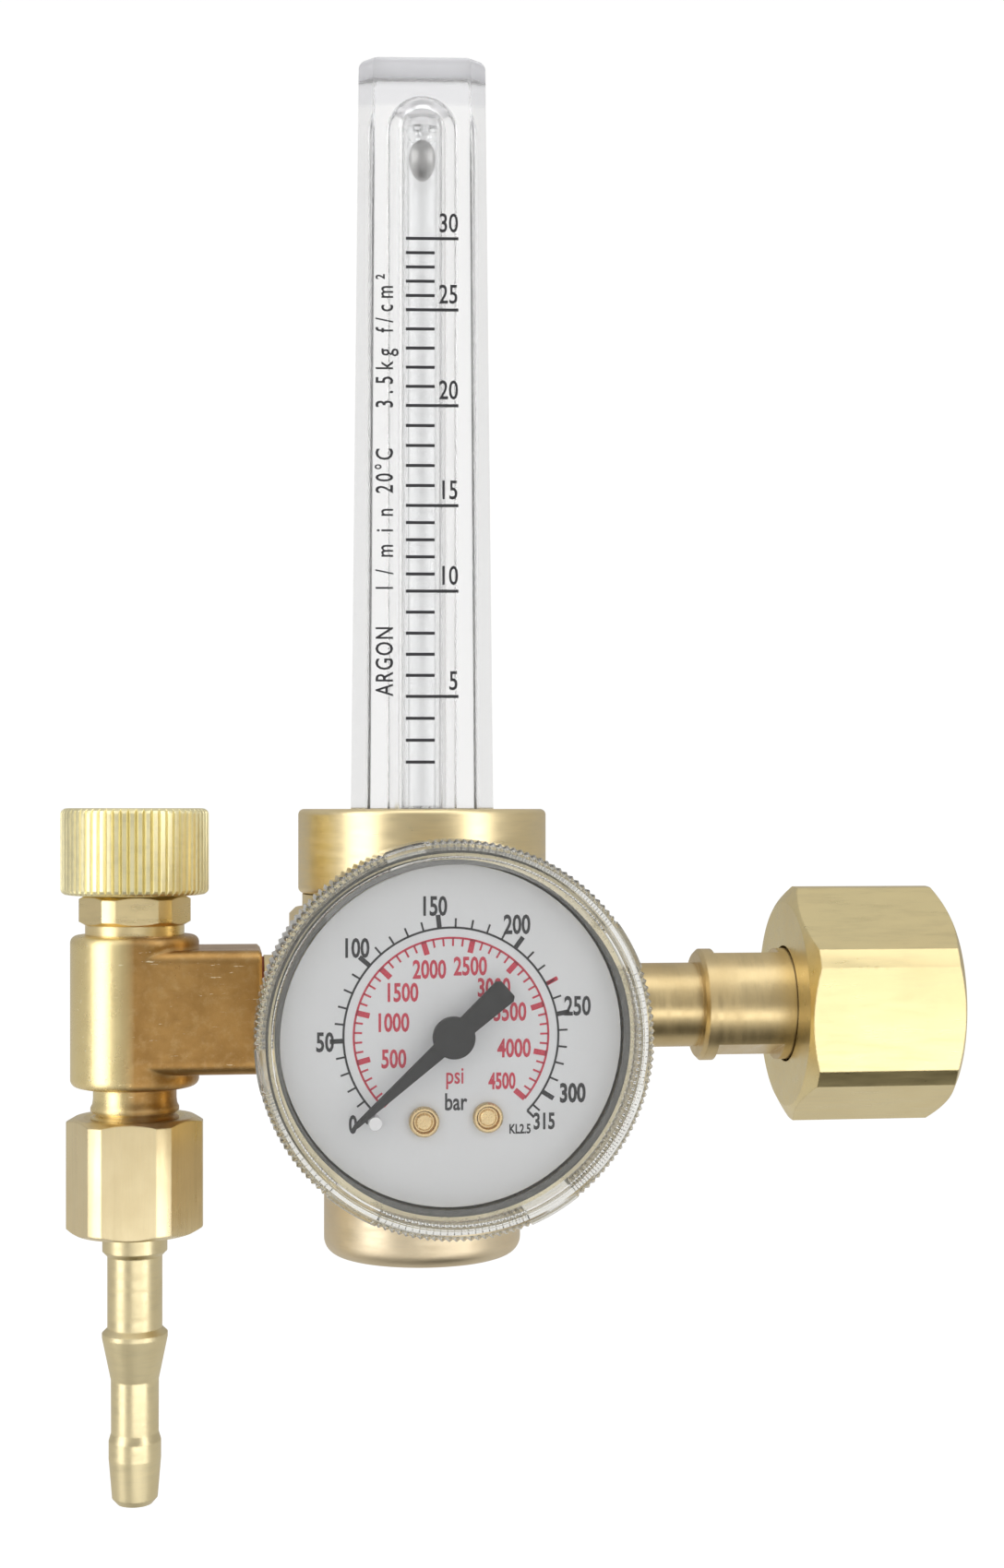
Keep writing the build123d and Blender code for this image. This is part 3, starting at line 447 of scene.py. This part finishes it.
def build_thread(name, axis_point, direction, radii, start, length, pitch, body, material):
    """Helical ridge, round an axis along direction, standing from the first radius to the second."""
    bm = bmesh.new()
    turns = length / pitch
    steps = int(turns * THREAD_STEPS)
    foot, crest = (r * MM for r in radii)
    foot_half, crest_half = THREAD_FLANKS
    forward = Vector(direction)
    side = forward.orthogonal().normalized()
    other = forward.cross(side)
    previous = None
    for i in range(steps + 1):
        angle = tau * turns * i / steps
        along = (start + length * i / steps) * MM
        fade = min(1.0, i / THREAD_FADE, (steps - i) / THREAD_FADE)
        tip = foot + (crest - foot) * fade
        out = side * cos(angle) + other * sin(angle)
        section = []
        for reach, shift in ((foot, -foot_half), (tip, -crest_half), (tip, crest_half), (foot, foot_half)):
            place = Vector(axis_point) + out * reach + forward * (along + shift * pitch * MM)
            section.append(bm.verts.new(place))
        if previous:
            for k in range(4):
                j = (k + 1) % 4
                bm.faces.new((previous[k], previous[j], section[j], section[k]))
        else:
            bm.faces.new(section)
        previous = section
    bm.faces.new(previous)
    facing_out(bm)
    ride(mesh_object(name, bm, material), body)


# ---------------------------------------------------------------- gauge window

WINDOW_TEETH = 172
WINDOW_TOOTH_DEPTH = 0.28 * MM
WINDOW_STEPS = 6             # steps round one tooth
# Stretches of the skirt without teeth: (middle, half width), degrees clockwise from the top
WINDOW_PLAIN = ((62, 7), (150, 8), (212, 8), (262, 6), (345, 6))


def build_window(material):
    """Clear snap-on cap: finely knurled skirt, flat front pane and a stepped lip round it."""
    low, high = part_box("gauge_window")
    outer = (high.x - low.x) / 2
    front, back = low.y, high.y
    depth = back - front
    # (radius, distance behind the front, whether the teeth cut it)
    profile = [
        (outer - 0.9 * MM, depth, 0), (outer - 0.1 * MM, depth, 1), (outer, depth - 0.4 * MM, 1),
        (outer, 1.7 * MM, 1), (outer - 0.25 * MM, 0.9 * MM, 1), (outer - 0.9 * MM, 0.25 * MM, 0),
        (outer - 1.6 * MM, 0.0, 0), (outer - 2.0 * MM, 0.0, 0), (outer - 2.25 * MM, 0.35 * MM, 0),
        (outer - 3.0 * MM, 0.45 * MM, 0), (0.02 * MM, 0.45 * MM, 0), (0.02 * MM, 1.8 * MM, 0),
        (outer - 1.5 * MM, 1.8 * MM, 0), (outer - 1.05 * MM, 2.3 * MM, 0),
        (outer - 1.05 * MM, depth - 0.4 * MM, 0),
    ]
    plain = [(radians(centre), radians(half)) for centre, half in WINDOW_PLAIN]

    def plain_at(angle):
        return any(abs((angle - centre + pi) % tau - pi) < half for centre, half in plain)

    def ring(r, y, toothed):
        def point(angle):
            reach = r
            if toothed:
                phase = (angle / tau * WINDOW_TEETH) % 1.0
                groove = 0.0 if plain_at(angle) else 0.5 - 0.5 * cos(tau * phase)
                reach = r - WINDOW_TOOTH_DEPTH * groove
            return DIAL.x + reach * sin(angle), front + y, DIAL.z + reach * cos(angle)
        return point

    bm = bmesh.new()
    lathe(bm, [ring(*row) for row in profile], WINDOW_TEETH * WINDOW_STEPS, closed=True)
    facing_out(bm)
    window = mesh_object("clear_window", bm, material)
    ride(window, "regulator")
    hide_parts("gauge_window")


# ---------------------------------------------------------------- printing

PRINT_STAND = 0.03 * MM      # the ink's height over the surface that it is printed on


class Print:
    """Flat ink shapes on an upright face; x to the right and z up, in millimetres.

    The face stands reach in front of the origin at z = 0, leans back by lean for each unit of height,
    and looks turn degrees to the left of -Y.
    """

    def __init__(self, origin, reach=0.0, lean=0.0, turn=0.0):
        self.origin = origin
        self.reach = reach
        self.lean = lean
        self.out = Vector((-sin(radians(turn)), -cos(radians(turn)), 0))
        self.right = Vector((cos(radians(turn)), -sin(radians(turn)), 0))
        self.bm = bmesh.new()

    def point(self, x, z):
        forward = (self.reach - self.lean * z) * MM + PRINT_STAND
        return self.origin + self.right * x * MM + self.out * forward + Vector((0, 0, z * MM))

    def face(self, *points):
        self.bm.faces.new([self.bm.verts.new(self.point(x, z)) for x, z in points])

    def bar(self, start, end, width):
        (x1, z1), (x2, z2) = start, end
        length = sqrt((x2 - x1) ** 2 + (z2 - z1) ** 2)
        across = ((z1 - z2) / length * width / 2, (x2 - x1) / length * width / 2)
        self.face((x1 - across[0], z1 - across[1]), (x2 - across[0], z2 - across[1]),
                  (x2 + across[0], z2 + across[1]), (x1 + across[0], z1 + across[1]))

    def arc(self, radius, first, last, width, steps=160):
        """Ring piece between two clockwise angles from the top."""
        inner, outer = radius - width / 2, radius + width / 2
        angles = [radians(first + (last - first) * i / steps) for i in range(steps + 1)]
        for a, b in zip(angles, angles[1:]):
            self.face((inner * sin(a), inner * cos(a)), (outer * sin(a), outer * cos(a)),
                      (outer * sin(b), outer * cos(b)), (inner * sin(b), inner * cos(b)))

    def spoke(self, angle, inner, outer, width):
        a = radians(angle)
        self.bar((inner * sin(a), inner * cos(a)), (outer * sin(a), outer * cos(a)), width)

    def text(self, words, x, z, height, squeeze=0.72, weight=0.0, turn=0.0, align="CENTER", length=None):
        """Letters of the built-in font, set as flat faces; a length, in millimetres, spaces them out."""
        size = height / LETTER_HEIGHT
        flat, width = set_letters(words, align, weight, 1.0)
        if length is not None:
            bpy.data.meshes.remove(flat)
            flat, wide = set_letters(words, align, weight, 2.0)
            bpy.data.meshes.remove(flat)
            spacing = 1 + (length / (size * squeeze) - width) / (wide - width)
            flat, width = set_letters(words, align, weight, spacing)
        c, s = cos(radians(turn)), sin(radians(turn))
        made = {}
        for vertex in flat.vertices:
            u = vertex.co.x * size * squeeze
            v = (vertex.co.y - LETTER_HEIGHT / 2) * size
            made[vertex.index] = self.bm.verts.new(self.point(x + u * c - v * s, z + u * s + v * c))
        for polygon in flat.polygons:
            self.bm.faces.new([made[i] for i in polygon.vertices])
        bpy.data.meshes.remove(flat)

    def finish(self, name, body, slot, material):
        for face in self.bm.faces:
            face.normal_update()
            if face.normal.y > 0:
                face.normal_flip()
        return ride(mesh_object(name, self.bm, material), body)


LETTER_HEIGHT = 0.69         # capital height of the built-in font at size 1


def set_letters(words, align, weight, spacing):
    """Flat mesh of the words at size 1, and its width."""
    curve = bpy.data.curves.new("letters", "FONT")
    curve.body = words
    curve.align_x = align
    curve.offset = weight
    curve.resolution_u = 3
    curve.space_character = spacing
    holder = bpy.data.objects.new("letters", curve)
    scene.collection.objects.link(holder)
    bpy.context.view_layer.update()
    flat = bpy.data.meshes.new_from_object(holder.evaluated_get(bpy.context.evaluated_depsgraph_get()))
    across = [vertex.co.x for vertex in flat.vertices]
    bpy.data.objects.remove(holder)
    bpy.data.curves.remove(curve)
    return flat, max(across) - min(across)


BAR_START, BAR_STEP = 225.0, 0.857     # clockwise from the top, and degrees for one bar
BAR_PER_PSI = 0.0689476
BAR_END, PSI_END = 315, 4500           # the last marks of the two scales
BAR_RED_MARK = 230                     # the black scale's single red mark
BAR_ARC_R, PSI_ARC_R = 13.15, 11.9
ARC_WIDTH = 0.26


def bar_angle(pressure):
    """Clockwise angle of a pressure in bar, degrees from the top."""
    return BAR_START + BAR_STEP * pressure


# How far each label stands off its place on the label circle, in millimetres
BAR_SHIFTS = {50: (0.5, 0.0), 100: (0.4, 0.4), 150: (-0.4, 0.0), 200: (-1.4, 0.7), 250: (-0.1, 0.5)}
PSI_SHIFTS = {
    500: (0.8, -0.55), 1000: (0.7, -0.3), 1500: (-0.2, -0.3), 2000: (-0.35, 0.3), 2500: (0.5, 0.5),
    3000: (-0.3, -0.2), 3500: (-0.6, 0.3), 4000: (-0.3, 0.0),
}
BAR_LABEL_R, PSI_LABEL_R = 15.9, 8.15


def label_place(radius, pressure, shift):
    """Middle of a label for a pressure in bar, millimetres from the dial's centre."""
    a = radians(bar_angle(pressure))
    return radius * sin(a) + shift[0], radius * cos(a) + shift[1]


def build_dial_print(materials):
    """Black pressure scale in bar, and a red one in psi inside it."""
    black, red = Print(DIAL), Print(DIAL)
    black.arc(BAR_ARC_R, bar_angle(0), bar_angle(BAR_END), ARC_WIDTH)
    for pressure in range(0, BAR_END + 1, 10):
        if pressure % 50 == 0:
            black.spoke(bar_angle(pressure), BAR_ARC_R, BAR_ARC_R + 1.65, 0.58)
        else:
            black.spoke(bar_angle(pressure), BAR_ARC_R, BAR_ARC_R + 1.15, 0.24)
    black.spoke(bar_angle(BAR_END), BAR_ARC_R, BAR_ARC_R + 1.2, 0.3)
    for pressure in range(50, 300, 50):
        x, z = label_place(BAR_LABEL_R, pressure, BAR_SHIFTS[pressure])
        black.text(str(pressure), x, z, 2.25, 0.68, 0.025)
    black.text("0", -12.0, -10.6, 2.1, 0.66, 0.03)
    black.text("300", 14.9, -7.2, 2.2, 0.68, 0.035)
    black.text("315", 11.4, -10.6, 1.9, 0.66, 0.03)
    black.text("bar", 0.5, -8.05, 2.0, 0.72, 0.02)
    black.text("KL2.5", 8.4, -11.5, 1.1, 0.72, 0.03)
    red.arc(PSI_ARC_R, bar_angle(0), bar_angle(PSI_END * BAR_PER_PSI), ARC_WIDTH)
    for pressure in range(0, PSI_END + 1, 100):
        if pressure % 500 == 0:
            red.spoke(bar_angle(pressure * BAR_PER_PSI), PSI_ARC_R, PSI_ARC_R - 1.6, 0.68)
        else:
            red.spoke(bar_angle(pressure * BAR_PER_PSI), PSI_ARC_R, PSI_ARC_R - 1.0, 0.24)
    red.spoke(bar_angle(BAR_RED_MARK), BAR_ARC_R + 0.1, BAR_ARC_R + 1.6, 0.5)
    for pressure in range(500, PSI_END, 500):
        x, z = label_place(PSI_LABEL_R, pressure * BAR_PER_PSI, PSI_SHIFTS[pressure])
        red.text(str(pressure), x, z, 2.15, 0.66, 0.025)
    red.text("4500", 6.2, -5.6, 1.9, 0.60, 0.03)
    red.text("psi", 0.4, -4.85, 2.0, 0.72, 0.01)
    black.finish("dial_scale_black", "regulator", "pointer_black", materials["ink_black"])
    red.finish("dial_scale_red", "regulator", "pointer_black", materials["ink_red"])


SCREW_R = 1.85 * MM


def build_dial_screws(material):
    """Screw heads with a raised rim, a sunk ring and a slotted button in the middle."""
    low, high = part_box("dial_screws")
    seat = DIAL.y
    # (radius, height over the dial), millimetres
    profile = [
        (1.85, 0.02), (1.85, 0.75), (1.65, 1.05), (1.42, 1.05), (1.30, 0.85), (1.22, 0.45), (1.05, 0.45),
        (1.0, 0.85), (0.85, 0.98), (0.02, 1.0),
    ]
    bm = bmesh.new()
    for x, z in ((low.x + SCREW_R, low.z + SCREW_R), (high.x - SCREW_R, high.z - SCREW_R)):
        def ring(r, stand):
            return lambda angle: (x + r * MM * cos(angle), seat - stand * MM, z + r * MM * sin(angle))
        lathe(bm, [ring(*row) for row in profile], 40)
        slot_along = Vector((0.82 * MM, 0, 0.55 * MM))
        slot_across = Vector((-0.07 * MM, 0, 0.10 * MM))
        middle_top = Vector((x, seat - 1.02 * MM, z))
        corners = (slot_along + slot_across, -slot_along + slot_across,
                   -slot_along - slot_across, slot_along - slot_across)
        lower = [bm.verts.new(middle_top + corner + Vector((0, 0.06 * MM, 0))) for corner in corners]
        upper = [bm.verts.new(middle_top + corner) for corner in corners]
        bm.faces.new(upper)
        for i in range(4):
            j = (i + 1) % 4
            bm.faces.new((upper[i], upper[j], lower[j], lower[i]))
    facing_out(bm)
    screws = mesh_object("ringed_dial_screws", bm, material)
    ride(screws, "regulator")
    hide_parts("dial_screws")


def build_rim_seal(material):
    """Thin dark grey ring between the case's mouth and the clear cap, round the dial: painted shadow where
    the rim shades the dial's edge.
    """
    case_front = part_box("gauge_case")[0].y
    # (radius, distance in front of the case), millimetres
    profile = [(21.10, 0.0), (21.10, 0.5), (21.35, 0.75), (21.7, 0.75), (21.85, 0.5), (21.85, 0.0)]
    bm = bmesh.new()

    def ring(r, stand):
        y = case_front - stand * MM
        return lambda angle: (DIAL.x + r * MM * cos(angle), y, DIAL.z + r * MM * sin(angle))

    lathe(bm, [ring(*row) for row in profile], 160, closed=True)
    facing_out(bm)
    ride(mesh_object("painted_rim_shadow", bm, material, smooth=True), "regulator")


# Height of each printed litre mark above the last: (up to this flow, millimetres a litre)
SCALE_STEPS = ((5, 2.95), (10, 2.84), (15, 2.31), (20, 2.70), (25, 2.59), (30, 1.93))
SCALE_FIRST = 2              # litres a minute at the lowest mark
SCALE_FIRST_Z = 33.9         # its height above the port axis
COLUMN_TURN = 5.4            # the column's front face looks this far to the left, degrees
COLUMN_FOOT = 24.3           # height where the column's flat faces begin, millimetres, as the rest below
COLUMN_HALVES = (9.7, 8.6)   # half widths of the column there and at its top
MARK_LEFT = -2.2             # left ends of the scale's marks
MARK_WIDTH = 0.42
LONG_MARK, SHORT_MARK = 7.1, 3.9
LEGEND_X = -5.1
# Words that run upwards, left of the marks: (words, lowest point, highest point)
LEGEND = (("ARGON", 42.8, 52.1), ("l/min", 57.1, 67.9), ("20°C", 70.1, 76.1), ("3.5kg f/cm²", 81.6, 99.6))


def scale_heights():
    """Height of each litre mark, millimetres over the port axis."""
    heights = {SCALE_FIRST: SCALE_FIRST_Z}
    for flow in range(SCALE_FIRST + 1, 31):
        step = next(size for top, size in SCALE_STEPS if flow <= top)
        heights[flow] = heights[flow - 1] + step
    return heights


def build_tube_print(materials):
    """Flow scale and legend on the front face of the clear column."""
    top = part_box("flow_tube_block")[1].z / MM
    half_low, half_high = COLUMN_HALVES
    lean = (half_low - half_high) / (top - COLUMN_FOOT)
    ink_lines = Print(Vector((BODY.x, 0, 0)), half_low + COLUMN_FOOT * lean, lean, COLUMN_TURN)
    for flow, height in scale_heights().items():
        labelled = flow % 5 == 0
        reach = LONG_MARK if labelled else SHORT_MARK
        ink_lines.bar((MARK_LEFT, height), (MARK_LEFT + reach, height), MARK_WIDTH)
        if labelled:
            ink_lines.text(str(flow), 4.9, height + 2.15, 2.5, 0.74, 0.01, align="RIGHT")
    for words, start, end in LEGEND:
        ink_lines.text(words, LEGEND_X, start, 2.3, weight=0.01, turn=90, align="LEFT", length=end - start)
    ink_lines.finish("tube_scale", "regulator", "pointer_black", materials["ink_grey"])


# ---------------------------------------------------------------- studio

FLOOR_Z = -0.135
WALL_R = 1.6                 # the surround's radius
WALL_BEND = 0.9              # radius of the curve from floor to wall
WALL_TOP = 2.2
WALL_BEND_STEPS = 10


def build_studio():
    """White floor that curves up into a surround; the brass mirrors the grey air instead of it."""
    bm = bmesh.new()
    profile = [(0.0, FLOOR_Z), (WALL_R - WALL_BEND, FLOOR_Z)]
    for i in range(1, WALL_BEND_STEPS + 1):
        a = pi / 2 * i / WALL_BEND_STEPS
        profile.append((WALL_R - WALL_BEND + WALL_BEND * sin(a), FLOOR_Z + WALL_BEND - WALL_BEND * cos(a)))
    profile.append((WALL_R, WALL_TOP))

    def ring(r, z):
        return lambda angle: (BODY.x + r * cos(angle), r * sin(angle), z)

    rows = lathe(bm, [ring(max(r, 0.001), z) for r, z in profile], 96)
    bm.faces.new(rows[0])
    facing_out(bm)
    floor = mesh_object("studio_floor", bm, studio_paper(), smooth=True)
    floor.visible_glossy = False
    floor.visible_diffuse = False


def build_air():
    """Grey surroundings by height, darkest just over the horizon, with a shadow low in front."""
    world = bpy.data.worlds.new("studio_air")
    scene.world = world
    world.use_nodes = True
    nodes = world.node_tree.nodes
    background = nodes["Background"]
    coordinate = nodes.new("ShaderNodeTexCoord")
    split = nodes.new("ShaderNodeSeparateXYZ")
    ramp = nodes.new("ShaderNodeValToRGB")
    span = nodes.new("ShaderNodeMapRange")
    world.node_tree.links.new(coordinate.outputs["Generated"], split.inputs[0])
    world.node_tree.links.new(split.outputs["Z"], span.inputs["Value"])
    span.inputs["From Min"].default_value = -1
    world.node_tree.links.new(span.outputs[0], ramp.inputs[0])
    dark = front_shadow(world.node_tree, split)
    world.node_tree.links.new(ramp.outputs[0], Nodes.colour_socket(dark, "A"))
    world.node_tree.links.new(Nodes.colour_output(dark), background.inputs["Color"])
    marks = ramp.color_ramp.elements
    marks[0].position, marks[0].color = 0.0, (0.62, 0.61, 0.58, 1)
    marks[1].position, marks[1].color = 1.0, (0.62, 0.62, 0.62, 1)
    for position, grey in ((0.30, 0.66), (0.42, 0.62), (0.52, 0.42), (0.70, 0.50)):
        mark = marks.new(position)
        mark.color = (grey, grey * 0.985, grey * 0.95, 1)
    background.inputs["Strength"].default_value = 1.0


def front_shadow(tree, split):
    """Mix that darkens the air low in front, the shaded side of the table that the undersides mirror."""
    low = tree.nodes.new("ShaderNodeMapRange")
    near = tree.nodes.new("ShaderNodeMapRange")
    both = tree.nodes.new("ShaderNodeMath")
    both.operation = "MULTIPLY"
    for node, source, start, end in ((low, "Z", -0.62, -0.80), (near, "Y", 0.10, -0.10)):
        tree.links.new(split.outputs[source], node.inputs["Value"])
        node.inputs["From Min"].default_value = start
        node.inputs["From Max"].default_value = end
    tree.links.new(low.outputs[0], both.inputs[0])
    tree.links.new(near.outputs[0], both.inputs[1])
    dark = tree.nodes.new("ShaderNodeMix")
    dark.data_type = "RGBA"
    tree.links.new(both.outputs[0], dark.inputs["Factor"])
    Nodes.colour_socket(dark, "B").default_value = (0.10, 0.095, 0.08, 1)
    return dark


def studio_paper():
    """Grey paper with a strong white glow of its own, so that it stays plain behind the object."""
    n = Nodes("studio_paper")
    fibre = n.noise(30, detail=4)
    base = n.mix(n.span(fibre, 0.0, 1.0), (0.30, 0.30, 0.30, 1), (0.32, 0.32, 0.32, 1))
    n.set(Base_Color=base, Roughness=n.span(fibre, 0.85, 0.95), Emission_Color=(1, 1, 1, 1),
          Emission_Strength=0.82)
    return n.material


def soft_light(name, azimuth, elevation, distance, size, power, colour=(1, 1, 1)):
    """Area light aimed at the regulator; azimuth 0 is in front, and positive is to the right."""
    data = bpy.data.lights.new(name, "AREA")
    data.shape = "RECTANGLE"
    data.size, data.size_y = size
    data.energy = power
    data.color = colour
    lamp = bpy.data.objects.new(name, data)
    scene.collection.objects.link(lamp)
    a, e = radians(azimuth), radians(elevation)
    target = Vector((BODY.x, 0.0, 0.02))
    back = Vector((sin(a) * cos(e), -cos(a) * cos(e), sin(e)))
    lamp.location = target + back * distance
    lamp.rotation_mode = "QUATERNION"
    lamp.rotation_quaternion = (-back).to_track_quat("-Z", "Y")


def build_lights():
    soft_light("left_box", -62, 12, 0.9, (0.5, 1.2), 4.2)
    soft_light("right_box", 46, 12, 0.9, (0.34, 1.2), 3.2)
    soft_light("top_box", 0, 68, 1.0, (0.9, 0.6), 2.0)
    soft_light("front_low", 10, -20, 1.0, (0.8, 0.25), 1.3)


# ---------------------------------------------------------------- camera

SENSOR_WIDTH = 36.0           # millimetres
CAMERA_YAW = radians(7.4)     # how far to the left of the gauge's axis the camera stands
CAMERA_DISTANCE = 307.7 * MM  # from the body's axis
CAMERA_SIDE = 11.09 * MM      # the lens looks this far to the right of the body's axis
CAMERA_Z = 27.6 * MM          # the height of the collar's top
FOCAL_SHARE = 2400 / 1700     # focal length over the frame's long side
HORIZON_SHIFT = 27 / 1700     # the horizon lies this share of the long side below the middle


def build_camera():
    data = bpy.data.cameras.new("camera")
    data.sensor_width = SENSOR_WIDTH
    data.lens = SENSOR_WIDTH * FOCAL_SHARE
    data.shift_y = HORIZON_SHIFT
    data.clip_start, data.clip_end = 0.01, 20
    camera = bpy.data.objects.new("camera", data)
    scene.collection.objects.link(camera)
    forward = Vector((sin(CAMERA_YAW), cos(CAMERA_YAW), 0))
    right = Vector((cos(CAMERA_YAW), -sin(CAMERA_YAW), 0))
    camera.location = Vector((BODY.x, 0, CAMERA_Z)) + right * CAMERA_SIDE - forward * CAMERA_DISTANCE
    camera.rotation_mode = "QUATERNION"
    camera.rotation_quaternion = forward.to_track_quat("-Z", "Y")
    scene.camera = camera


# ---------------------------------------------------------------- assembly

MATERIALS = build_materials()
dress_nodes(MATERIALS)
build_knob(MATERIALS["satin_brass"])
build_window(MATERIALS["window_plastic"])
build_thread("inlet_nut_thread", (0, 0, 0), (1, 0, 0), NUT_THREAD_RADII, NUT_THREAD_START, NUT_THREAD_LENGTH,
             NUT_THREAD_PITCH, "inlet_nut", MATERIALS["nut_brass"])
build_dial_print(MATERIALS)
build_dial_screws(MATERIALS["screw_brass"])
# the dark ring is painted shadow of the rim, not a real seal
build_rim_seal(MATERIALS["shadow_grey"])
build_tube_print(MATERIALS)
build_studio()
build_air()
build_lights()
build_camera()
